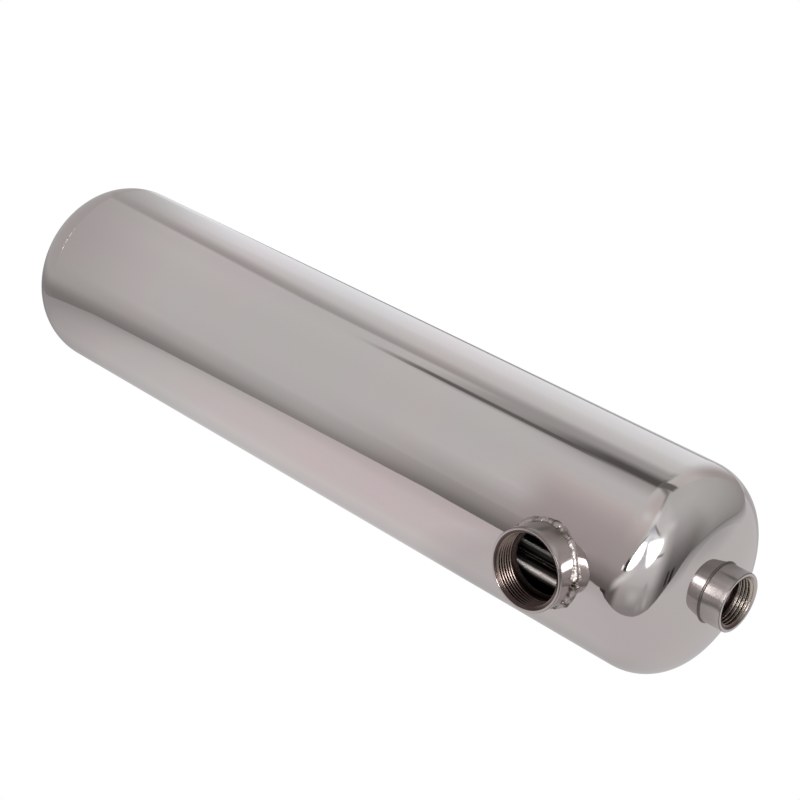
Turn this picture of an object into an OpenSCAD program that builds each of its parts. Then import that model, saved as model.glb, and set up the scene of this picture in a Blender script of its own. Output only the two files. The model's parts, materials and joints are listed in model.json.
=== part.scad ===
// Shell and tube heat exchanger lying on its side: a plain polished shell with two domed heads,
// a large threaded socket on each side near the ends and a smaller one in the middle of each head.
// The shell's axis runs along X, and the shell rests on the plane z = 0.

/* [Shell] */
// Outside diameter of the shell and its heads
shell_od = 140; // [130:1:180]
// Wall thickness of the shell and its heads
shell_wall = 2; // [1:0.1:4]
// Length of the straight shell between the two heads
shell_length = 530; // [450:1:900]
// Outside radius of the rounded corner of a head
knuckle_radius = 35; // [15:0.5:42]
// Outside radius of the dome of a head
crown_radius = 181; // [130:1:400]

/* [Side ports] */
// Diameter of the hole in the shell under a side socket
side_hole_d = 41.4; // [30:0.1:44]
// Largest diameter of the thread in a side socket
side_thread_d = 47.8; // [44:0.1:60]
// Radial depth of the thread in a side socket
side_thread_height = 1.45; // [0.8:0.05:2]
// Length of the thread in a side socket
side_thread_length = 13; // [8:0.1:14]
// Wall thickness of a side socket around its thread
side_socket_wall = 2.6; // [1.5:0.05:6]
// Height of a side socket over the crest of the shell
side_reach = 14.8; // [14.5:0.1:40]
// Gap along the shell between a side socket and the tube sheet beside it
side_port_margin = 9.5; // [3:0.1:60]
// Height of the weld bead up the wall of a side socket
side_bead_height = 2.4; // [1:0.1:4]
// Width of the weld bead on the shell
side_bead_width = 1.9; // [0.8:0.1:4]

/* [End ports] */
// Diameter of the hole in the head under an end socket
end_hole_d = 28; // [18:0.1:30]
// Largest diameter of the thread in an end socket
end_thread_d = 33.25; // [30.5:0.05:42]
// Radial depth of the thread in an end socket
end_thread_height = 1.45; // [0.8:0.05:2]
// Length of the thread in an end socket
end_thread_length = 11; // [6:0.1:13]
// Wall thickness of an end socket around its thread
end_socket_wall = 3; // [1.5:0.05:6]
// Height of an end socket over the top of its head
end_reach = 14; // [13.5:0.1:40]
// Radius of the weld bead around an end socket
end_bead_radius = 1.5; // [0.8:0.1:2.4]

/* [Tube bundle] */
// Outside diameter of a tube
tube_od = 12.7; // [9:0.1:13.5]
// Wall thickness of a tube
tube_wall = 0.9; // [0.5:0.1:1.5]
// Distance between the tubes of one row
tube_pitch = 15.9; // [15:0.1:20]
// Gap between the outermost tubes and the inside of the shell
bundle_margin = 5.3; // [3:0.1:9]
// Length of a tube end standing out of its tube sheet
tube_end = 1.5; // [0.5:0.1:4]

/* [Tube sheets and baffles] */
// Thickness of a tube sheet
sheet_thickness = 6; // [4:0.5:12]
// Distance from the end of the shell to the outer face of a tube sheet
sheet_inset = 2; // [1:0.5:8]
// Thickness of a baffle
baffle_thickness = 2; // [1:0.1:4]
// Height of the open window of a baffle
baffle_window = 40; // [24:0.5:50]
// Distance from a side socket to the nearest baffle
baffle_clear = 30; // [4:0.5:80]

/* [Clearances] */
// Radial gap between a tube and its hole
tube_gap = 0.15; // [0.05:0.05:0.4]
// Radial gap between a tube sheet or baffle and the shell
sheet_gap = 0.2; // [0.1:0.05:0.6]
// Gap between a weld bead and the faces that it joins
bead_gap = 0.05; // [0.02:0.01:0.2]

/* [Hidden] */
$fn = 96;

steel = [0.76, 0.74, 0.73];
weld_steel = [0.62, 0.60, 0.58];
inner_steel = [0.55, 0.54, 0.52];

// Angle from the floor to the long seam of the rolled shell
seam_turn = 30;

shell_r = shell_od / 2;
shell_ir = shell_r - shell_wall;
sheet_x = shell_length / 2 - sheet_inset - sheet_thickness;

// Head: the knuckle's centre circle, and the dome's centre behind the end of the shell
knuckle_centre = shell_r - knuckle_radius;
crown_drop = sqrt(pow(crown_radius - knuckle_radius, 2) - pow(knuckle_centre, 2));
crown_half_angle = atan2(knuckle_centre, crown_drop);
head_height = crown_radius - crown_drop;

// Side sockets, measured from the shell's axis
side_socket_od = side_thread_d + 2 * side_socket_wall;
side_tap_d = side_thread_d - 2 * side_thread_height;
side_rim = shell_r + side_reach;
side_port_x = sheet_x - side_port_margin - side_socket_od / 2;

// End sockets, measured from the top of the head
end_socket_od = end_thread_d + 2 * end_socket_wall;
end_tap_d = end_thread_d - 2 * end_thread_height;
end_sag = crown_radius - sqrt(pow(crown_radius, 2) - pow(end_socket_od / 2, 2));

// Tube field: nine rows, the first and last of three tubes with the outer two on the field's circle
row_count = 9;
middle_row = (row_count - 1) / 2;
field_r = shell_ir - bundle_margin - tube_od / 2;
row_step = sqrt(field_r * field_r - tube_pitch * tube_pitch) / middle_row;
tube_length = 2 * (sheet_x + sheet_thickness + tube_end);

// Baffles, spread evenly between the two side ports
baffle_count = 4;
baffle_reach = side_port_x - side_socket_od / 2 - baffle_clear;
baffle_step = 2 * baffle_reach / (baffle_count - 1);

// Weld bead on the shell: sections round the socket, and points over the bead in each section
bead_sections = 96;
bead_points = 7;

function row_y(row) = (row - 1 - middle_row) * row_step;
function row_shift(row) = (row % 2 == 1) ? 0 : 0.5;
function in_field(y, z) = y * y + z * z <= field_r * field_r + 0.01;
function row_heights(row) = [
    for (i = [-20 : 20])
        let (z = (i + row_shift(row)) * tube_pitch)
            if (in_field(row_y(row), z)) z
];

// Height of the shell's surface over its axis, at a distance from a side port's axis and an angle round it
function shell_height(r, a) = sqrt(shell_r * shell_r - pow(r * sin(a), 2)) + bead_gap;

// One section of the bead: its corner first, then the round from the socket down to the shell
function bead_section(a) =
    let (r0 = side_socket_od / 2 + bead_gap)
        concat(
            [[r0 * cos(a), r0 * sin(a), shell_height(r0, a)]],
            [for (k = [0 : bead_points - 1])
                let (t = 90 * k / (bead_points - 1), r = r0 + side_bead_width * sin(t))
                    [r * cos(a), r * sin(a), shell_height(r, a) + side_bead_height * cos(t)]]
        );

// Places a child that stands on the plane z = 0 so that it points along the shell's axis
module along_axis(x) {
    translate([x, 0, shell_r]) rotate([0, 90, 0]) children();
}

// Turns a piece of the front half into the same piece of the rear half
module to_rear() {
    rotate([0, 0, 180]) children();
}

// Places a child on the shell's axis at the front side port, with its z axis pointing out of the port
module at_side_port() {
    translate([side_port_x, 0, shell_r]) rotate([90, 0, 0]) children();
}

// Places a child on top of the front head, with its z axis pointing out of the end port
module at_end_port() {
    along_axis(shell_length / 2 + head_height) children();
}

// Part of a ring between two angles from its vertical, less than a quarter turn apart
module ring_sector(radius, low, high) {
    far = 2 * radius;
    intersection() {
        difference() {
            circle(r = radius);
            circle(r = radius - shell_wall);
        }
        polygon([
            [0, 0],
            [far * sin(low), far * cos(low)],
            [far * (sin(low) + sin(high)), far * (cos(low) + cos(high))],
            [far * sin(high), far * cos(high)]
        ]);
    }
}

// Pressed head: a dome that runs smoothly into a rounded corner, with a hole for its socket
module head() {
    along_axis(shell_length / 2) rotate([0, 0, seam_turn]) rotate_extrude() difference() {
        union() {
            translate([0, -crown_drop]) ring_sector(crown_radius, 0, crown_half_angle);
            translate([knuckle_centre, 0]) ring_sector(knuckle_radius, crown_half_angle, 90);
        }
        square([end_hole_d / 2, 2 * head_height]);
    }
}

// Plain wall of a socket: its outside, the thread's bore at the mouth and the tapping bore behind it
module socket_wall(outer_d, thread_d, tap_d, thread_length, rim) {
    difference() {
        cylinder(d = outer_d, h = rim);
        translate([0, 0, rim - thread_length]) cylinder(d = thread_d, h = rim);
        translate([0, 0, -1]) cylinder(d = tap_d, h = rim + 2);
    }
}

module side_socket() {
    difference() {
        at_side_port()
            socket_wall(side_socket_od, side_thread_d, side_tap_d, side_thread_length, side_rim);
        along_axis(-shell_length / 2) cylinder(d = shell_od, h = shell_length);
    }
}

// Rounded bead that follows the curve where a side socket meets the shell
module side_weld() {
    sections = [for (i = [0 : bead_sections - 1]) bead_section(360 * i / bead_sections)];
    count = bead_points + 1;
    at_side_port() polyhedron(
        points = [for (s = sections) for (p = s) p],
        faces = [
            for (i = [0 : bead_sections - 1])
                for (j = [0 : count - 1])
                    let (m = (i + 1) % bead_sections, n = (j + 1) % count)
                        [i * count + j, m * count + j, m * count + n, i * count + n]
        ],
        convexity = 4
    );
}

module end_socket() {
    at_end_port() difference() {
        translate([0, 0, -crown_radius / 4])
            socket_wall(end_socket_od, end_thread_d, end_tap_d, end_thread_length, end_reach + crown_radius / 4);
        translate([0, 0, -crown_radius]) sphere(r = crown_radius);
    }
}

module end_weld() {
    at_end_port() rotate_extrude() difference() {
        translate([end_socket_od / 2, -end_sag]) circle(r = end_bead_radius);
        translate([0, -crown_radius]) square([end_socket_od / 2 + bead_gap, 2 * crown_radius]);
        translate([0, -crown_radius]) circle(r = crown_radius + bead_gap, $fn = 720);
    }
}

// Holes for every tube, drawn looking along the shell's axis
module tube_holes() {
    for (row = [1 : row_count])
        for (z = row_heights(row))
            translate([-z, row_y(row)]) circle(d = tube_od + 2 * tube_gap);
}

module tube_sheet() {
    along_axis(sheet_x) linear_extrude(height = sheet_thickness) difference() {
        circle(r = shell_ir - sheet_gap);
        tube_holes();
    }
}

// Segmental baffle; the window is at the top of every odd baffle and at the bottom of every even one
module baffle(number) {
    side = (number % 2 == 1) ? -1 : 1;
    edge = shell_ir - baffle_window;
    along_axis(-baffle_reach + (number - 1) * baffle_step - baffle_thickness / 2)
        linear_extrude(height = baffle_thickness) difference() {
            circle(r = shell_ir - sheet_gap);
            tube_holes();
            translate([side * (edge + shell_r), 0]) square([2 * shell_r, 2 * shell_od], center = true);
        }
}

module tube_row(row) {
    along_axis(-tube_length / 2) linear_extrude(height = tube_length)
        for (z = row_heights(row))
            translate([-z, row_y(row)]) difference() {
                circle(d = tube_od);
                circle(d = tube_od - 2 * tube_wall);
            }
}

module shell_barrel() {
    color(steel) difference() {
        along_axis(-shell_length / 2) rotate([0, 0, seam_turn]) difference() {
            cylinder(d = shell_od, h = shell_length);
            translate([0, 0, -1]) cylinder(r = shell_ir, h = shell_length + 2);
        }
        at_side_port() cylinder(d = side_hole_d, h = shell_od);
        to_rear() at_side_port() cylinder(d = side_hole_d, h = shell_od);
    }
}

module front_head() { color(steel) head(); }
module rear_head() { color(steel) to_rear() head(); }
module front_side_socket() { color(steel) side_socket(); }
module front_side_weld() { color(weld_steel) side_weld(); }
module rear_side_socket() { color(steel) to_rear() side_socket(); }
module rear_side_weld() { color(weld_steel) to_rear() side_weld(); }
module front_end_socket() { color(steel) end_socket(); }
module front_end_weld() { color(weld_steel) end_weld(); }
module rear_end_socket() { color(steel) to_rear() end_socket(); }
module rear_end_weld() { color(weld_steel) to_rear() end_weld(); }
module front_tube_sheet() { color(inner_steel) tube_sheet(); }
module rear_tube_sheet() { color(inner_steel) to_rear() tube_sheet(); }
module baffle_1() { color(inner_steel) baffle(1); }
module baffle_2() { color(inner_steel) baffle(2); }
module baffle_3() { color(inner_steel) baffle(3); }
module baffle_4() { color(inner_steel) baffle(4); }
module tube_row_1() { color(inner_steel) tube_row(1); }
module tube_row_2() { color(inner_steel) tube_row(2); }
module tube_row_3() { color(inner_steel) tube_row(3); }
module tube_row_4() { color(inner_steel) tube_row(4); }
module tube_row_5() { color(inner_steel) tube_row(5); }
module tube_row_6() { color(inner_steel) tube_row(6); }
module tube_row_7() { color(inner_steel) tube_row(7); }
module tube_row_8() { color(inner_steel) tube_row(8); }
module tube_row_9() { color(inner_steel) tube_row(9); }

shell_barrel();
front_head();
rear_head();
front_side_socket();
front_side_weld();
rear_side_socket();
rear_side_weld();
front_end_socket();
front_end_weld();
rear_end_socket();
rear_end_weld();
front_tube_sheet();
rear_tube_sheet();
baffle_1();
baffle_2();
baffle_3();
baffle_4();
tube_row_1();
tube_row_2();
tube_row_3();
tube_row_4();
tube_row_5();
tube_row_6();
tube_row_7();
tube_row_8();
tube_row_9();
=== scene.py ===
import json
import math
from collections import namedtuple

import bpy
from mathutils import Euler, Matrix, Vector, noise


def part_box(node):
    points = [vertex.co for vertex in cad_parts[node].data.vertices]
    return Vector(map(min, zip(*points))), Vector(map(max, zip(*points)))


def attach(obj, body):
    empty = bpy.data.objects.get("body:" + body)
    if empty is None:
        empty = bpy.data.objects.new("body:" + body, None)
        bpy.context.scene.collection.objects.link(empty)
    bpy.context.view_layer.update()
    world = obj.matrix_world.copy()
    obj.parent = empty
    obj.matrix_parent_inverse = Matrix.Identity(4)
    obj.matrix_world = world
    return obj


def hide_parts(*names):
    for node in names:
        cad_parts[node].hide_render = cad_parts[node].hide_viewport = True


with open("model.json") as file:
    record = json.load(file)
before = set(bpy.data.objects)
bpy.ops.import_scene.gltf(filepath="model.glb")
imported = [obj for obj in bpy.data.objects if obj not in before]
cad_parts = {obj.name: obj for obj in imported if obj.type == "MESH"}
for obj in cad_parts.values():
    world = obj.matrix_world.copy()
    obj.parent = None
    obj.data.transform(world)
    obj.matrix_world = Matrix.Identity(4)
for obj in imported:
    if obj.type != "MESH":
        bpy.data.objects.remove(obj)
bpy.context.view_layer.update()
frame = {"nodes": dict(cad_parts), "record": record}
nodes = frame["nodes"]
scene = bpy.context.scene

# Sizes in metres, read from the solids and their ports
ports = {mount["name"]: mount for mount in frame["record"]["mounts"]}
side_port = ports["front_side_port"]
end_port = ports["front_end_port"]
side_low, side_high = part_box("front_side_socket")
end_low, end_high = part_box("front_end_socket")
SHELL_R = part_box("shell_barrel")[1][1]
SIDE_X = side_port["pos_m"][0]
SIDE_RIM = -side_low[1]
SIDE_OUTER = (side_high[0] - side_low[0]) / 2
SIDE_ROOT = side_port["dims"]["r_mm"] / 1000
END_OUTER = (end_high[2] - end_low[2]) / 2
END_ROOT = end_port["dims"]["r_mm"] / 1000
END_THREAD = end_port["dims"]["length_mm"] / 1000

# Sizes in metres that boxes and ports don't give: the dome under the end sockets, and the threads
CROWN_R = 0.181
END_RIM = 0.014
APEX_X = end_high[0] - END_RIM
SIDE_THREAD = 0.0148
PITCH = 0.002309
THREAD_DEPTH = 0.00145
SIDE_CREST = SIDE_ROOT - THREAD_DEPTH
END_CREST = END_ROOT - THREAD_DEPTH

# Front and rear halves of the exchanger, each the other turned half round
ENDS = (("front", 1), ("rear", -1))


# Node trees

def triple(value):
    """Three equal values for one number, and three values as they are."""
    if isinstance(value, (int, float)):
        return (value, value, value)
    return tuple(value)


def scaled(colour, factors):
    return tuple(part * factor for part, factor in zip(colour, triple(factors)))


class Graph:
    """A node tree, with a short call for each kind of node that the looks need."""

    def __init__(self, tree):
        self.tree = tree
        tree.nodes.clear()

    def feed(self, socket, value):
        """Links an input to another socket, or sets it to a number, a grey or a colour."""
        if isinstance(value, bpy.types.NodeSocket):
            self.tree.links.new(value, socket)
        elif socket.type == "RGBA":
            socket.default_value = (*triple(value), 1.0)
        else:
            socket.default_value = value

    def new(self, kind, inputs=None, **settings):
        node = self.tree.nodes.new("ShaderNode" + kind)
        for name, value in settings.items():
            setattr(node, name, value)
        for name, value in (inputs or {}).items():
            self.feed(node.inputs[name], value)
        return node

    def math(self, operation, *values):
        return self.new("Math", dict(enumerate(values)), operation=operation).outputs[0]

    def product(self, first, *others):
        total = first
        for other in others:
            total = self.math("MULTIPLY", total, other)
        return total

    def step(self, value, clear, full):
        """Share that goes smoothly from 0 where the value is at clear to 1 where it is at full."""
        inputs = {"Value": value, "From Min": clear, "From Max": full}
        return self.new("MapRange", inputs, interpolation_type="SMOOTHSTEP").outputs["Result"]

    def within(self, *edges):
        """Share inside several soft edges at once, each given as a step is."""
        return self.product(*[self.step(*edge) for edge in edges])

    def ramp(self, place, stops):
        """Greys or colours along a line from 0 to 1."""
        node = self.new("ValToRGB", {"Fac": place})
        elements = node.color_ramp.elements
        elements.remove(elements[-1])
        for i, (where, level) in enumerate(stops):
            element = elements[0] if i == 0 else elements.new(where)
            element.position = where
            element.color = (*triple(level), 1.0)
        return node.outputs["Color"]

    def mix(self, share, start, end):
        node = self.new("Mix", data_type="RGBA")
        start_socket, end_socket = [socket for socket in node.inputs if socket.type == "RGBA"]
        self.feed(node.inputs["Factor"], share)
        self.feed(start_socket, start)
        self.feed(end_socket, end)
        return [socket for socket in node.outputs if socket.type == "RGBA"][0]

    def times(self, first, second):
        """Product of two colours."""
        return self.new("VectorMath", {0: first, 1: second}, operation="MULTIPLY").outputs[0]

    def split(self, vector):
        return self.new("SeparateXYZ", {0: vector}).outputs

    def cloud(self, place, scale, detail):
        return self.new("TexNoise", {"Vector": place, "Scale": scale, "Detail": detail}).outputs["Fac"]

    def stretched(self, place, scale):
        return self.new("Mapping", {"Vector": place, "Scale": scale}).outputs["Vector"]

    def glow(self, colour):
        return self.new("Emission", {"Color": colour, "Strength": 1.0}).outputs[0]

    def choose(self, share, first, second):
        """Blends two shaders."""
        return self.new("MixShader", {0: share, 1: first, 2: second}).outputs[0]


class Steel(Graph):
    """Bare steel with a fine grain in its gloss and a faint cloud of cooler and warmer tint."""

    BRUSHED = (2.0, 60.0, 60.0)
    COOL = (0.98, 1.0, 0.985)
    WARM = (1.02, 0.985, 0.99)
    FINE_DEPTH = 0.0002
    WAVE_DEPTH = 0.001

    def __init__(self, name, colour, rough, grain=BRUSHED, bump=0.02, wave=0.0, stain=None, lathe=None):
        self.material = bpy.data.materials.new(name)
        self.material.use_nodes = True
        super().__init__(self.material.node_tree)
        self.place = self.new("TexCoord").outputs["Object"]
        self.x, self.y, self.z = self.split(self.place)
        streaks = self.cloud(self.stretched(self.place, triple(grain)), 12.0, 5.0)
        self.bsdf = self.new("BsdfPrincipled", {
            "Metallic": 1.0,
            "Base Color": self.tinted(colour, stain),
            "Roughness": self.between(streaks, *rough),
            "Normal": self.uneven(streaks, bump, wave),
        })
        if lathe is not None:
            # Fine marks run round the axis and draw highlights out along it
            axis = self.new("CombineXYZ", dict(enumerate(lathe))).outputs[0]
            self.set("Tangent", axis)
            self.set("Anisotropic", 1.0)
        self.new("OutputMaterial", {"Surface": self.bsdf.outputs["BSDF"]})

    def tinted(self, colour, stain):
        stops = [(0.35, scaled(colour, self.COOL)), (0.65, scaled(colour, self.WARM))]
        tint = self.ramp(self.cloud(self.place, 9.0, 2.0), stops)
        if stain is not None:
            spots = self.cloud(self.place, 160.0, 3.0)
            tint = self.mix(self.step(spots, 0.42, 0.62), tint, stain)
        return tint

    def between(self, streaks, low, high):
        inputs = {"Value": streaks, "From Min": 0.3, "From Max": 0.7, "To Min": low, "To Max": high}
        return self.new("MapRange", inputs).outputs["Result"]

    def uneven(self, streaks, bump, wave):
        normal = self.raised(streaks, bump, self.FINE_DEPTH)
        if wave > 0:
            normal = self.raised(self.cloud(self.place, 14.0, 1.0), wave, self.WAVE_DEPTH, normal)
        return normal

    def raised(self, height, strength, depth, normal=None):
        inputs = {"Height": height, "Strength": strength, "Distance": depth}
        if normal is not None:
            inputs["Normal"] = normal
        return self.new("Bump", inputs).outputs["Normal"]

    def now(self, name):
        return self.bsdf.inputs[name].links[0].from_socket

    def set(self, name, value):
        self.feed(self.bsdf.inputs[name], value)

    def recolour(self, share, start=None, end=None):
        """Blends the colour from start to end. The one that isn't given is the colour so far."""
        before = self.now("Base Color")
        start = before if start is None else start
        end = before if end is None else end
        self.set("Base Color", self.mix(share, start, end))

    def distance(self, across):
        """Distance from an axis at the height of the shell's own."""
        rise = self.math("SUBTRACT", self.z, SHELL_R)
        return self.math("SQRT", self.math("ADD", self.product(across, across), self.product(rise, rise)))

    def from_shell_axis(self):
        return self.distance(self.y)

    def from_side_port(self):
        return self.distance(self.math("SUBTRACT", self.math("ABSOLUTE", self.x), SIDE_X))

    def half(self):
        """Below zero on the two quarters of the exchanger that carry side ports, above on the others."""
        return self.math("MULTIPLY", self.x, self.y)


# Looks, with heights and distances in metres

ALONG = (1, 0, 0)
ACROSS = (0, 1, 0)
CUT = dict(grain=60.0, bump=0.12, stain=(0.30, 0.22, 0.19))
# Painted shade for the roots of the threads
THREAD_ROOT_SHADE = (0.13, 0.095, 0.085)
LEDGE = (0.17, 0.125, 0.115)


def polished_steel(name):
    return Steel(name, (0.665, 0.625, 0.62), (0.03, 0.07), wave=0.03)


def shell_steel():
    """Polished outside with painted shade inside, and a rough ledge round the inside of the side ports with
    painted shade low down.
    """
    look = polished_steel("shell_steel")
    outside = look.step(look.from_shell_axis(), SHELL_R - 0.00022, SHELL_R - 0.00005)
    # Painted shade: the inside of the shell is coloured nearly black
    look.recolour(outside, start=(0.05, 0.042, 0.04))
    half = look.half()
    from_port = look.from_side_port()
    # The heat of the side welds has drawn the shell out of true beside them
    outward = (look.math("ABSOLUTE", look.x), SIDE_X + 0.014, SIDE_X + 0.026)
    dented = look.within((half, -0.002, -0.006), (from_port, 0.044, 0.028), outward)
    look.set("Normal", look.raised(look.cloud(look.place, 55.0, 1.0), dented, 0.0012, look.now("Normal")))
    ledge = look.within((half, -0.002, -0.004), (from_port, 0.0234, 0.0226))
    # Painted shade: the ledge is coloured darker low down in the port
    look.recolour(ledge, end=look.mix(look.step(look.z, 0.050, 0.064), scaled(LEDGE, 0.3), LEDGE))
    look.set("Roughness", look.math("MAXIMUM", look.now("Roughness"), look.product(ledge, 0.6)))
    return look.material


def side_socket_steel():
    """Turned steel, with painted shade on top, and streaked by the lathe low down."""
    colour = (0.54, 0.50, 0.49)
    look = Steel("side_socket_steel", colour, (0.10, 0.15), grain=40.0, bump=0.004, lathe=ACROSS)
    # Painted shade: the top of the socket is coloured darker
    look.recolour(look.step(look.z, 0.0905, 0.096), end=(0.29, 0.26, 0.245))
    marks = look.cloud(look.stretched(look.place, (40.0, 620.0, 40.0)), 1.0, 2.0)
    levels = look.ramp(marks, ((0.36, 0.62), (0.5, 0.95), (0.64, 1.25)))
    look.recolour(look.step(look.z, 0.066, 0.060), end=look.times(look.now("Base Color"), levels))
    return look.material


def end_socket_steel():
    """Turned steel, with painted shade on top."""
    colour = (0.53, 0.495, 0.49)
    look = Steel("end_socket_steel", colour, (0.21, 0.25), grain=20.0, bump=0.002, lathe=ALONG)
    # Painted shade: the top of the socket is coloured darker
    look.recolour(look.step(look.z, 0.079, 0.088), end=(0.39, 0.36, 0.355))
    return look.material


def side_thread_steel():
    """Cut steel, with painted shade at the root of the thread and low down."""
    look = Steel("side_thread_steel", (0.31, 0.25, 0.225), (0.14, 0.28), **CUT)
    root = look.step(look.from_side_port(), SIDE_CREST + 0.0003, SIDE_ROOT - 0.0002)
    # Painted shade: the roots of the thread are coloured darker
    look.recolour(root, end=THREAD_ROOT_SHADE)
    # Painted shade: the thread is coloured darker low down in the port
    look.recolour(look.step(look.z, 0.048, 0.0555), start=(0.085, 0.06, 0.055))
    return look.material


def end_thread_steel():
    """Cut steel, with painted shade at the root of the thread and a painted highlight on the lit side."""
    look = Steel("end_thread_steel", (0.36, 0.31, 0.275), (0.20, 0.36), **CUT)
    root = look.step(look.from_shell_axis(), END_CREST + 0.0003, END_ROOT - 0.0002)
    # Painted shade: the roots of the thread are coloured darker
    look.recolour(root, end=THREAD_ROOT_SHADE)
    # Painted highlight: the thread is coloured bright on the lit side of each end port
    look.recolour(look.step(look.half(), 0.0015, 0.0048), end=(0.62, 0.55, 0.49))
    return look.material


def bore_steel():
    """Rough steel below the thread, with painted shade low down."""
    look = Steel("bore_steel", (0.15, 0.11, 0.10), (0.35, 0.50), grain=60.0, bump=0.1)
    # Painted shade: the bore is coloured nearly black low down
    look.recolour(look.step(look.z, 0.048, 0.066), start=(0.03, 0.02, 0.018))
    return look.material


def weld_steel():
    """Rough steel, stained by the heat."""
    stain = (0.15, 0.125, 0.115)
    return Steel("weld_steel", (0.52, 0.485, 0.46), (0.26, 0.40), grain=60.0, bump=0.3, stain=stain).material


def tube_steel():
    """Painted light and shade by height: one row of tubes painted as lit by the port, the others painted in
    shade, with one painted lit line.
    """
    look = Steel("tube_steel", (0.62, 0.60, 0.57), (0.32, 0.38), lathe=ALONG)
    # Painted light and shade: levels of the tubes' colour by height
    heights = (
        (0.049, 0.06), (0.0503, 1.0), (0.063, 1.0), (0.0636, 0.10),
        (0.0714, 0.09), (0.0721, 0.30), (0.0731, 0.30), (0.0738, 0.06),
    )
    # The ramp covers the lowest seventh of a metre
    per_metre = 7.0
    stops = [(height * per_metre, level) for height, level in heights]
    levels = look.ramp(look.product(look.z, per_metre), stops)
    look.set("Base Color", look.times(look.now("Base Color"), levels))
    return look.material


polished = polished_steel("polished_steel").material
shell = shell_steel()
turned = Steel("socket_steel", (0.61, 0.57, 0.56), (0.05, 0.10), grain=40.0).material
side_turned = side_socket_steel()
end_turned = end_socket_steel()
edge = Steel("edge_steel", (0.24, 0.21, 0.20), (0.20, 0.35), grain=60.0, bump=0.1).material
side_cut = side_thread_steel()
end_cut = end_thread_steel()
bore = bore_steel()
weld = weld_steel()
# Painted shade: the end beads are coloured dark for the shade in the joint between socket and head
shade_painted_weld = Steel("end_weld_steel", (0.16, 0.14, 0.13), (0.25, 0.40), grain=60.0, bump=0.2).material
tube = tube_steel()
plate = Steel("inner_steel", (0.30, 0.28, 0.26), (0.25, 0.45), grain=30.0).material


def look_of(name):
    if name == "shell_barrel":
        return shell
    if name.endswith("_socket"):
        return turned
    if name.endswith("_weld"):
        return weld
    if name.startswith("tube_row"):
        return tube
    if name.startswith("baffle") or name.endswith("tube_sheet"):
        return plate
    return polished


for name, obj in nodes.items():
    obj.data.materials.clear()
    obj.data.materials.append(look_of(name))


# Round pieces, given as rows of radius, angle and height w along their own axis, and then set in place

SEAT = 0.0004


def smooth(t):
    t = min(max(t, 0.0), 1.0)
    return t * t * (3 - 2 * t)


def side_base(r, a):
    """Height of the shell's face over the shell's axis, less the depth of the seat."""
    return math.sqrt(SHELL_R ** 2 - (r * math.sin(a)) ** 2) - SEAT


def end_base(r, a):
    """Height of the head's face over its apex, less the depth of the seat."""
    return math.sqrt(CROWN_R ** 2 - r ** 2) - CROWN_R - SEAT


def side_place(sign):
    def place(u, v, w):
        return (sign * (SIDE_X + u), -sign * w, SHELL_R + v)
    return place


def end_place(sign):
    def place(u, v, w):
        return (sign * (APEX_X + w), -sign * u, SHELL_R + v)
    return place


def round_mesh(rows, place):
    """Points and faces of a surface whose rows each close on themselves."""
    points = [place(r * math.cos(a), r * math.sin(a), w) for row in rows for r, a, w in row]
    count = len(rows[0])
    faces = []
    for start in range(0, len(points) - count, count):
        after = start + count
        for j in range(count):
            k = (j + 1) % count
            faces.append((start + j, start + k, after + k, after + j))
    return points, faces


def add_piece(name, points, faces, looks, face_looks, node):
    mesh = bpy.data.meshes.new(name)
    mesh.from_pydata(points, [], faces)
    for look in looks:
        mesh.materials.append(look)
    mesh.polygons.foreach_set("material_index", face_looks)
    mesh.polygons.foreach_set("use_smooth", [True] * len(faces))
    mesh.update()
    obj = bpy.data.objects.new(name, mesh)
    scene.collection.objects.link(obj)
    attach(obj, "root")
    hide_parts(node)


# Turned and threaded sockets

ROUND_POINTS = 224
WALL_BANDS = 5
TURN_ROWS = 14
BORE_BANDS = 5
# Rounded edges, as steps down from the rim and in towards the axis
OUTER_EDGE = ((0.00045, 0.0), (0.00030, 0.00008), (0.00010, 0.00022), (0.0, 0.00035))
MOUTH_EDGE = ((0.0, -0.0001), (0.00004, 0.0), (0.0002, 0.0001))
MOUTH_WIDER = 0.0011
MOUTH_LEAD = 0.0001
MOUTH_SLOPE = 1.8
RUN_OUT_START = 0.0016
RUN_OUT = 0.0014


def thread_depth(phase):
    """Share of the thread's depth at a place in its pitch, with rounded crest and root."""
    t = abs((phase % 1.0) * 2.0 - 1.0)
    return smooth(t * 1.12 - 0.06)


def socket_rows(outer, root, crest, rim, length, base):
    """Rows up the outside to the rim, and rows from the mouth down the thread to the foot of the bore."""
    angles = [2 * math.pi * j / ROUND_POINTS for j in range(ROUND_POINTS)]
    wall_top = rim - OUTER_EDGE[0][0]
    outside = []
    for k in range(WALL_BANDS):
        part = k / WALL_BANDS
        outside.append([(outer, a, base(outer, a) * (1 - part) + wall_top * part) for a in angles])
    for drop, inward in OUTER_EDGE:
        outside.append([(outer - inward, a, rim - drop) for a in angles])
    mouth = root + MOUTH_WIDER
    inside = []
    for drop, inward in MOUTH_EDGE:
        inside.append([(mouth - inward, a, rim - drop) for a in angles])
    steps = int(length / PITCH * TURN_ROWS)
    for i in range(1, steps + 1):
        depth = length * i / steps
        cone = mouth + MOUTH_LEAD - depth * MOUTH_SLOPE
        full = 1 - smooth((depth - length + RUN_OUT_START) / RUN_OUT)
        row = []
        for a in angles:
            share = thread_depth(depth / PITCH + a / (2 * math.pi)) * full
            row.append((max(cone, crest + (root - crest) * share), a, rim - depth))
        inside.append(row)
    inside.append([(crest, a, base(crest, a)) for a in angles])
    return outside, inside


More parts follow.
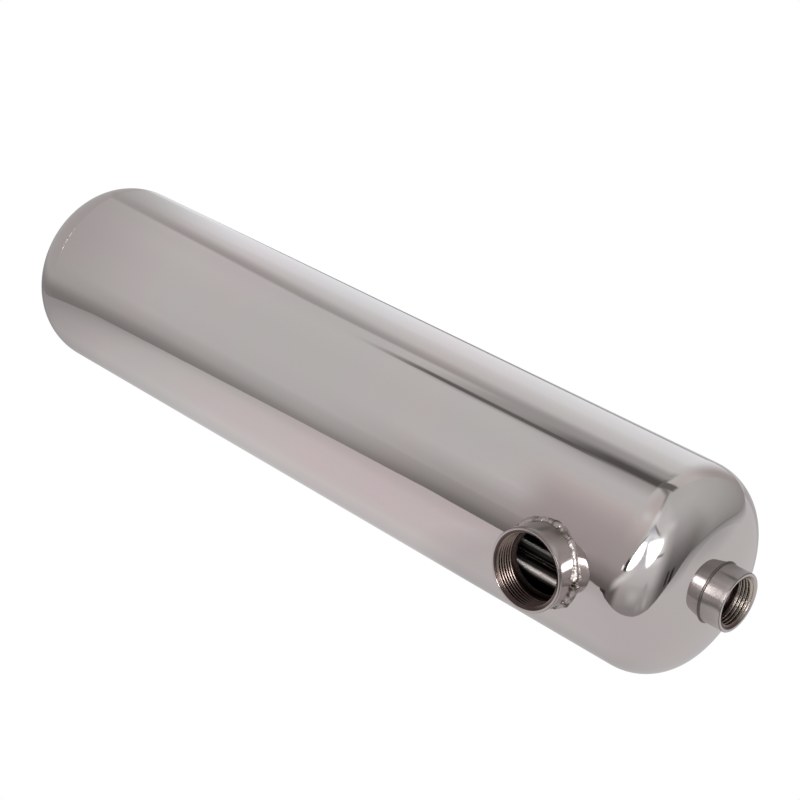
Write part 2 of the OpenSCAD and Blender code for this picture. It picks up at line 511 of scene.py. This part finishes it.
def add_socket(name, rows, place, wall, cut, node):
    outside, inside = rows
    points, faces = round_mesh(outside + inside, place)
    looks = (wall, cut, bore, edge, turned)
    bands = [wall] * WALL_BANDS
    bands += [edge] * (len(OUTER_EDGE) - 1)
    bands += [turned] * len(MOUTH_EDGE)
    bands += [cut] * (len(inside) - len(MOUTH_EDGE) - BORE_BANDS)
    bands += [bore] * BORE_BANDS
    face_looks = [looks.index(look) for look in bands for _ in range(ROUND_POINTS)]
    add_piece(name, points, faces, looks, face_looks, node)


side_rows = socket_rows(SIDE_OUTER, SIDE_ROOT, SIDE_CREST, SIDE_RIM, SIDE_THREAD, side_base)
for end, sign in ENDS:
    place = side_place(sign)
    add_socket(f"{end}_side_turned", side_rows, place, side_turned, side_cut, f"{end}_side_socket")
end_rows = socket_rows(END_OUTER, END_ROOT, END_CREST, END_RIM, END_THREAD, end_base)
for end, sign in ENDS:
    place = end_place(sign)
    add_socket(f"{end}_end_turned", end_rows, place, end_turned, end_cut, f"{end}_end_socket")


# Weld beads, laid by hand round each joint

Bead = namedtuple("Bead", "width height ripples points wander")
SIDE_BEAD = Bead(width=0.0019, height=0.0022, ripples=29, points=696, wander=0.9)
END_BEAD = Bead(width=0.0010, height=0.0010, ripples=30, points=600, wander=0.15)
SIDE_SEEDS = (1.7, 7.3)
END_SEEDS = (4.1, 9.6)
BEAD_ROWS = 10
BEAD_OVERLAP = 0.0001
BEAD_RISE = 0.0003
NICK_SHIFT = Vector((5.0, 1.0, 3.0))


def towards(a, middle, cut):
    """Share of a stretch of the bead around one angle."""
    return smooth(math.cos(a - middle) * 1.6 - cut)


def bead_point(outer, base, bead, seed, t, a):
    """Point of a bead at angle a, where t goes from the wall of the socket to the toe, a quarter turn."""
    wander = bead.wander
    where = Vector((math.cos(a) * 2.2, math.sin(a) * 2.2, seed))
    calm = towards(a, 0.75, 0.4)
    blob = smooth(1 - (1 - math.cos(a)) / 0.03)
    broad = 1 + wander * (0.7 * towards(a, -0.7, 0.4) + 0.35 * calm + 0.45 * blob)
    # Slow and quick wandering, nicks, and a grain that is calm where the bead was laid well
    slow = noise.noise(where)
    quick = noise.noise(where * 5.0) * (1 - 0.85 * towards(a, 0.6, 0.2))
    nick = smooth((noise.noise(where * 2.7 + NICK_SHIFT) - 0.18) / 0.22) * wander
    grain = noise.noise(where * 13.0 + Vector((t, 0, 0))) * wander * (1 - 0.8 * max(calm, blob))
    turn = a / (2 * math.pi) * bead.ripples + 0.8 * slow + 0.35 * math.sin(t)
    ripple = (0.5 - abs((turn % 1.0) - 0.5)) * wander * math.sin(2 * t)
    spread = 1 + wander * (0.6 * slow + 0.3 * quick) + 0.25 * grain - 0.3 * nick
    lift = 1 + wander * (0.5 * slow + 0.5 * quick) + 0.15 * ripple - 0.6 * nick + 0.35 * grain
    r = outer - BEAD_OVERLAP + bead.width * broad * math.sin(t) * max(spread, 0.3)
    w = base(r, a) + BEAD_RISE + bead.height * broad * math.cos(t) * max(lift, 0.2)
    return (r, a, w)


def add_weld(name, outer, base, bead, seed, place, look, node):
    rows = []
    for k in range(BEAD_ROWS):
        t = math.pi / 2 * k / (BEAD_ROWS - 1)
        angles = [2 * math.pi * j / bead.points for j in range(bead.points)]
        rows.append([bead_point(outer, base, bead, seed, t, a) for a in angles])
    points, faces = round_mesh(rows, place)
    add_piece(name, points, faces, [look], [0] * len(faces), node)


for (end, sign), seed in zip(ENDS, SIDE_SEEDS):
    place = side_place(sign)
    add_weld(f"{end}_side_bead", SIDE_OUTER, side_base, SIDE_BEAD, seed, place, weld, f"{end}_side_weld")
for (end, sign), seed in zip(ENDS, END_SEEDS):
    place = end_place(sign)
    add_weld(f"{end}_end_bead", END_OUTER, end_base, END_BEAD, seed, place, shade_painted_weld, f"{end}_end_weld")


# White sheet under the exchanger, with a corner a little in front of it

FLOOR_EDGE = (
    (-0.60, 0.30), (-0.42, -0.08), (-0.34, -0.18), (-0.2475, -0.203), (-0.028, -0.290),
    (0.11, -0.275), (0.16, -0.252), (0.21, -0.223), (0.256, -0.187), (0.30, -0.152),
    (0.347, -0.124), (0.40, -0.107), (0.463, -0.092), (0.53, -0.070), (0.62, -0.036),
    (0.8, 0.052), (1.2, 0.25), (3, 1.2), (3, 4), (-0.6, 4),
)
# Painted light and shadow on the sheet as the steel mirrors it: brightness along the exchanger with painted
# shadow under it and its side port, painted shadow out from under it to the front, and painted light falling
# off past the front head
FLOOR_ALONG = (
    (-0.45, 0.33), (-0.34, 0.43), (-0.28, 0.57), (-0.24, 0.66), (-0.2, 0.70), (-0.13, 0.77),
    (-0.05, 0.79), (0.09, 0.77), (0.13, 0.64), (0.2, 0.66), (0.3, 0.64), (0.5, 0.66),
)
FLOOR_FRONT_SHADOW = (
    (0.0, 0.75), (0.04, 0.80), (0.05, 0.89), (0.062, 0.98),
    (0.10, 1.0), (0.15, 0.98), (0.19, 0.90), (0.25, 0.85),
)
FLOOR_FADE = ((0.52, 1.0), (0.58, 0.91), (0.68, 0.78), (0.82, 0.68), (1.05, 0.62), (1.5, 0.50), (3.0, 0.31))
# How far the three reach, in metres from the middle
ALONG_REACH = 0.5
FRONT_REACH = 0.5
FADE_REACH = 4.0


def floor_white():
    """Plain white to the camera, matt to the light, and to the steel that mirrors it a glowing sheet with
    painted shadow and painted light.
    """
    material = bpy.data.materials.new("floor_white")
    material.use_nodes = True
    look = Graph(material.node_tree)
    x, y, _ = look.split(look.new("TexCoord").outputs["Object"])
    # Painted shadow of the exchanger and its side port along the sheet
    along_stops = [(place + ALONG_REACH, level) for place, level in FLOOR_ALONG]
    along = look.ramp(look.math("ADD", x, ALONG_REACH), along_stops)
    # Painted shadow close in front of the exchanger, left out past its front end
    front_stops = [(place / FRONT_REACH, level) for place, level in FLOOR_FRONT_SHADOW]
    front_shadow = look.ramp(look.math("DIVIDE", y, -FRONT_REACH), front_stops)
    front_shadow = look.mix(look.step(x, 0.25, 0.31), front_shadow, 1.0)
    pink = look.within((x, -0.20, -0.13), (x, 0.18, 0.06), (y, -0.055, -0.09))
    tint = look.mix(pink, (1.0, 0.985, 0.985), (1.0, 0.93, 0.95))
    # Painted light that falls off past the front head
    far_stops = [(place / FADE_REACH, level) for place, level in FLOOR_FADE]
    faded = look.ramp(look.math("DIVIDE", x, FADE_REACH), far_stops)
    shades = look.times(look.times(look.times(along, front_shadow), tint), faded)
    rays = look.new("LightPath").outputs
    matt = look.new("BsdfDiffuse", {"Color": 0.8}).outputs[0]
    mirrored = look.choose(rays["Is Glossy Ray"], matt, look.glow(shades))
    seen = look.choose(rays["Is Camera Ray"], mirrored, look.glow(1.0))
    look.new("OutputMaterial", {"Surface": seen})
    return material


floor_mesh = bpy.data.meshes.new("floor")
floor_mesh.from_pydata([(x, y, 0) for x, y in FLOOR_EDGE], [], [tuple(range(len(FLOOR_EDGE)))])
floor_mesh.materials.append(floor_white())
floor = bpy.data.objects.new("floor", floor_mesh)
scene.collection.objects.link(floor)


# Soft room around the exchanger, with angles in degrees and levels of grey

# Walls by the angle round the shell's axis: 0 is level to the front, 90 straight up, 180 level to the back
WALL_LOW = ((-180, 0.88), (-150, 0.90), (-40, 0.20))
WALL_NEAR = ((-18, 0.20), (-13, 0.24), (-7, 0.33), (5, 0.45), (17, 0.58), (29, 0.685))
WALL_FAR = ((-24, 0.32), (-19, 0.37), (-11, 0.50), (-1, 0.58), (8, 0.65), (29, 0.67))
WALL_HIGH = (
    (60, 0.67), (88, 0.69), (106, 0.67), (120, 0.69), (131, 0.74),
    (143, 0.82), (149, 0.89), (161, 0.92), (180, 0.92),
)
# Room before the front head by the angle above the level
ROOM_LEFT = (
    (-60, 0.14), (-20, 0.14), (-15, 0.16), (-7, 0.28), (-2, 0.33), (1, 0.38), (7, 0.44), (15, 0.46),
    (24, 0.48), (30, 0.50), (35, 0.535), (41, 0.585), (45, 0.63), (50, 0.68), (60, 0.70), (90, 0.60),
)
ROOM_MIDDLE = (
    (-60, 0.25), (-30, 0.33), (-20, 0.42), (-12, 0.50), (-5, 0.62),
    (5, 0.70), (12, 0.74), (45, 0.72), (60, 0.72), (90, 0.60),
)
ROOM_RIGHT = (
    (-60, 0.18), (-12, 0.13), (-2, 0.15), (5, 0.20), (15, 0.28),
    (30, 0.43), (50, 0.57), (65, 0.62), (90, 0.60),
)
ROOM_REAR = ((-60, 0.20), (-10, 0.30), (0, 0.36), (10, 0.44), (30, 0.54), (60, 0.62), (90, 0.60))
# Patches as two azimuths, two heights, the softness of both, and a level
GLOWS = (
    ((20, 34, 56, 72, 9, 7), 0.95),
    ((56, 80, 42, 52, 10, 7), 0.80),
    ((-30, 12, 57, 66, 20, 6), 0.78),
)
LOW_GLOWS = (
    ((26, 44, -22, -10, 8, 6), 0.58),
    ((46, 53, -30, -22, 4, 4), 0.42),
    ((57, 63, -26, -16, 3, 4), 0.52),
    ((52, 57, -14, -5, 3, 3), 0.44),
)
DOOR_POSTS = (
    ((86.5, 89.5, -12, -2, 1.0, 1.5), 0.02),
    ((93, 97, -12, -2.5, 1.5, 1.5), 0.02),
)
PALE_GLASS = (
    ((36, 66, 14, 40, 6, 6), 1.05),
    ((31, 41, 12, 40, 4, 6), (0.68, 0.70, 0.75)),
)
# A gleam left of the curtain, and a dark bar beside the right pane
GLEAM_AND_BAR = (
    ((1, 4, 6, 11, 1, 1.5), 1.4),
    ((58, 69, 17.5, 20, 3, 1.5), 0.20),
)
PANE = 9.0
LOWEST_CEILING = 0.05
# Patches of the ceiling as two edges along and two across, each from where it is clear to where it is full
CEILING_PATCHES = (
    (((-0.76, -0.67), (-0.40, -0.48), (0.02, 0.09), (0.70, 0.38)), 0.44),
    (((-0.66, -0.54), (-0.40, -0.48), (-0.22, 0.12), (0.50, 0.40)), 0.46),
    (((-0.80, -0.71), (-0.54, -0.60), (0.075, 0.10), (0.19, 0.15)), 0.16),
    (((-0.66, -0.57), (-0.36, -0.50), (0.08, 0.17), (0.46, 0.24)), 0.11),
)
BEAM_CORE = ((-0.50, -0.42), (0.02, -0.10), (0.10, 0.15), (0.31, 0.25))
# Middle of the beam, across by along, each moved to start at zero
BEAM_LINE = (
    (0.0, 0.70), (0.10, 0.70), (0.32, 0.61), (0.515, 0.55), (0.60, 0.43), (0.71, 0.28), (0.82, 0.15),
)
BEAM_START_X = -0.6
BEAM_START_Y = -0.5


def tone(level):
    """A grey that turns warmer as it darkens."""
    shade = max(0.0, 1 - level / 0.7)
    cool = max(0.0, level - 0.75)
    return (level, level * (1 - 0.06 * shade + 0.1 * cool), level * (1 - 0.08 * shade + 0.3 * cool))


def warm(level):
    return scaled(triple(level), (1.0, 0.92, 0.91))


class Room(Graph):
    """Surroundings, placed by their direction from the exchanger, or by place on a flat ceiling."""

    def __init__(self, tree):
        super().__init__(tree)
        self.x, self.y, self.z = self.split(self.new("TexCoord").outputs["Generated"])
        front = self.math("MULTIPLY", self.y, -1.0)
        self.around = self.degrees(self.math("ARCTAN2", self.z, front))
        self.azimuth = self.degrees(self.math("ARCTAN2", self.x, front))
        self.height = self.degrees(self.math("ARCSINE", self.z))
        high = self.math("MAXIMUM", self.z, LOWEST_CEILING)
        self.ceiling_x = self.math("DIVIDE", self.x, high)
        self.ceiling_y = self.math("DIVIDE", self.y, high)
        self.overhead = (self.z, 0.40, 0.60)

    def degrees(self, angle):
        return self.math("MULTIPLY", angle, 180.0 / math.pi)

    def by_angle(self, angle, span, stops, tint):
        """Levels by an angle whose span lies half below zero and half above."""
        share = self.math("ADD", self.math("DIVIDE", angle, span), 0.5)
        return self.ramp(share, [(place / span + 0.5, tint(level)) for place, level in stops])

    def by_turn(self, stops):
        return self.by_angle(self.around, 360.0, stops, tone)

    def by_height(self, stops, tint=tone):
        return self.by_angle(self.height, 180.0, stops, tint)

    def weighed(self, over_azimuth, over_height, offset):
        """Sum of azimuth and height with weights, zero along one slanting line across the room."""
        sideways = self.product(self.azimuth, over_azimuth)
        upwards = self.product(self.height, over_height)
        return self.math("ADD", self.math("ADD", sideways, upwards), offset)

    def window(self, low_a, high_a, low_h, high_h, soft_a, soft_h):
        """Share of a patch of the room between two azimuths and two heights, with soft edges."""
        return self.within(
            (self.azimuth, low_a - soft_a, low_a + soft_a),
            (self.azimuth, high_a + soft_a, high_a - soft_a),
            (self.height, low_h - soft_h, low_h + soft_h),
            (self.height, high_h + soft_h, high_h - soft_h),
        )

    def patched(self, colour, patches):
        for edges, level in patches:
            colour = self.mix(self.window(*edges), colour, level)
        return colour

    def ceiling_patch(self, start_x, end_x, start_y, end_y):
        return self.within(
            (self.ceiling_x, *start_x),
            (self.ceiling_x, *end_x),
            (self.ceiling_y, *start_y),
            (self.ceiling_y, *end_y),
            self.overhead,
        )


def walls(room, left):
    """Walls as the shell sees them, darker low down towards the front."""
    near = room.by_turn(WALL_LOW + WALL_NEAR + WALL_HIGH)
    far = room.by_turn(WALL_LOW + WALL_FAR + WALL_HIGH)
    colour = room.mix(room.step(room.x, -0.53, -0.63), near, far)
    # The far end of the room falls off
    far_end = room.mix(room.step(room.height, -22.0, -8.0), tone(0.28), tone(0.50))
    colour = room.mix(room.step(room.x, -0.69, -0.75), colour, far_end)
    colour = room.mix(room.within((room.x, -0.67, -0.75), (room.around, 110.0, 135.0)), colour, tone(0.50))
    beside = room.within((room.x, -0.525, -0.508), (room.height, 56.0, 46.0), (room.y, 0.0, -0.2))
    return room.mix(beside, colour, left)


def front_room(room, left):
    """Room as the front head sees it, from the left over the middle to the right and the rear."""
    middle = room.by_height(ROOM_MIDDLE)
    right = room.by_height(ROOM_RIGHT)
    rear = room.by_height(ROOM_REAR)
    colour = room.mix(room.step(room.weighed(1.0, -0.25, 0.0), 1.0, 14.0), left, middle)
    right = room.mix(room.step(room.azimuth, 108.0, 132.0), right, rear)
    colour = room.mix(room.step(room.azimuth, 60.0, 86.0), colour, right)
    # Glow above and beside the windows, and streaks of light below them
    colour = room.patched(colour, GLOWS)
    slant = room.math("ABSOLUTE", room.weighed(-0.65, 1.0, 7.7))
    streak = room.product(room.step(slant, 9.0, 0.0), room.window(-4, 24, -20, 12, 10, 6))
    colour = room.mix(streak, colour, 0.84)
    return room.patched(colour, LOW_GLOWS + DOOR_POSTS)


def window_frame(room, colour):
    """Pale frame with a pointed top, under a dark line, and the pale glass in it."""
    top = room.weighed(-0.68, -1.0, 77.4)
    left_side = room.weighed(1.0, -0.667, 8.0)
    inside = room.within((left_side, -1.0, 1.0), (top, -1.0, 1.0), (room.height, 30.0, 36.0))
    pale = room.mix(room.step(room.height, 38.0, 53.0), (1.1, 1.13, 1.2), (0.54, 0.56, 0.60))
    colour = room.mix(inside, colour, pale)
    top_line = room.step(room.math("ABSOLUTE", top), 3.0, 0.5)
    colour = room.mix(room.product(top_line, room.window(33, 55, 36, 60, 3, 3)), colour, 0.34)
    return room.patched(colour, PALE_GLASS)


def curtain_and_panes(room, colour):
    """Dark curtain on the left, and two bright panes with curved and slanting edges."""
    height = room.height
    rise = room.math("SUBTRACT", height, 6.0)
    left_edge = room.math("SUBTRACT", room.azimuth, room.product(rise, rise, 0.012))
    below = room.math("MAXIMUM", room.math("SUBTRACT", 27.0, height), 0.0)
    right_edge = room.math("ADD", room.azimuth, room.product(below, below, 0.035))
    curtain = room.within((left_edge, 4.0, 6.0), (left_edge, 11.5, 9.5), (height, 4.0, 7.0))
    colour = room.mix(room.product(curtain, room.step(height, 24.0, 17.0)), colour, 0.03)
    upper = room.within((height, 16.0, 22.0), (height, 48.0, 40.0))
    colour = room.mix(room.product(curtain, upper), colour, 0.45)
    colour = room.patched(colour, GLEAM_AND_BAR)
    left_pane = room.within(
        (left_edge, 10.0, 12.0),
        (right_edge, 33.0, 24.0),
        (height, 6.5, 9.5),
        (height, 38.5, 32.0),
    )
    colour = room.mix(left_pane, colour, PANE)
    right_pane = room.within(
        (room.weighed(1.0, 0.42, -49.0), -2.0, 5.0),
        (room.weighed(1.0, -1.1, -35.0), 4.0, -5.0),
        (room.azimuth, 65.0, 54.0),
        (height, 9.0, 16.0),
        (height, 39.0, 30.0),
    )
    return room.mix(right_pane, colour, PANE)


def ceiling(room, colour):
    """Soft dark band and patches, and a beam that opens to the front and turns down over the front head."""
    bend = room.math("MAXIMUM", room.math("SUBTRACT", -0.9, room.ceiling_x), 0.0)
    past = room.math("SUBTRACT", room.ceiling_y, room.product(bend, 0.65))
    band = room.within(
        (past, 0.34, 0.42),
        (past, 0.75, 0.42),
        (room.z, 0.10, 0.30),
        (room.ceiling_x, -0.35, -0.50),
    )
    colour = room.mix(band, colour, tone(0.46))
    for edges, level in CEILING_PATCHES:
        colour = room.mix(room.ceiling_patch(*edges), colour, tone(level))
    line = room.ramp(room.math("SUBTRACT", room.ceiling_x, BEAM_START_X), BEAM_LINE)
    across = room.math("SUBTRACT", room.ceiling_y, BEAM_START_Y)
    aside = room.math("ABSOLUTE", room.math("SUBTRACT", across, line))
    beam = room.within(
        (aside, 0.10, 0.0),
        (room.ceiling_x, -0.50, -0.40),
        (room.ceiling_x, 0.25, -0.15),
        room.overhead,
    )
    colour = room.mix(beam, colour, tone(0.26))
    return room.mix(room.ceiling_patch(*BEAM_CORE), colour, tone(0.17))


def make_room(tree):
    room = Room(tree)
    left = room.by_height(ROOM_LEFT, warm)
    before_head = curtain_and_panes(room, window_frame(room, front_room(room, left)))
    grey = room.mix(room.step(room.x, -0.46, -0.12), walls(room, left), before_head)
    # Dark gap under a bench, low on the left
    grey = room.mix(room.window(-30, -17, -40, -19.5, 3, 1.5), grey, tone(0.04))
    grey = ceiling(room, grey)
    soft = room.new("Background", {"Color": grey}).outputs[0]
    white = room.new("Background", {"Color": 1.0}).outputs[0]
    eye = room.new("LightPath").outputs["Is Camera Ray"]
    room.new("OutputWorld", {"Surface": room.choose(eye, soft, white)})


world = bpy.data.worlds.new("studio")
world.use_nodes = True
make_room(world.node_tree)
scene.world = world


# Camera, with its place in metres and its turns about x, y and z in degrees

CAMERA_PLACE = (0.77721, -0.89146, 0.58632)
CAMERA_TURN = (66.41815, -8.52491, 43.55413)

data = bpy.data.cameras.new("camera")
data.sensor_width = 36.0
data.lens = 83.194
camera = bpy.data.objects.new("camera", data)
scene.collection.objects.link(camera)
turn = Euler([math.radians(angle) for angle in CAMERA_TURN]).to_matrix().to_4x4()
camera.matrix_world = Matrix.Translation(CAMERA_PLACE) @ turn
scene.camera = camera

scene.view_settings.view_transform = "Standard"
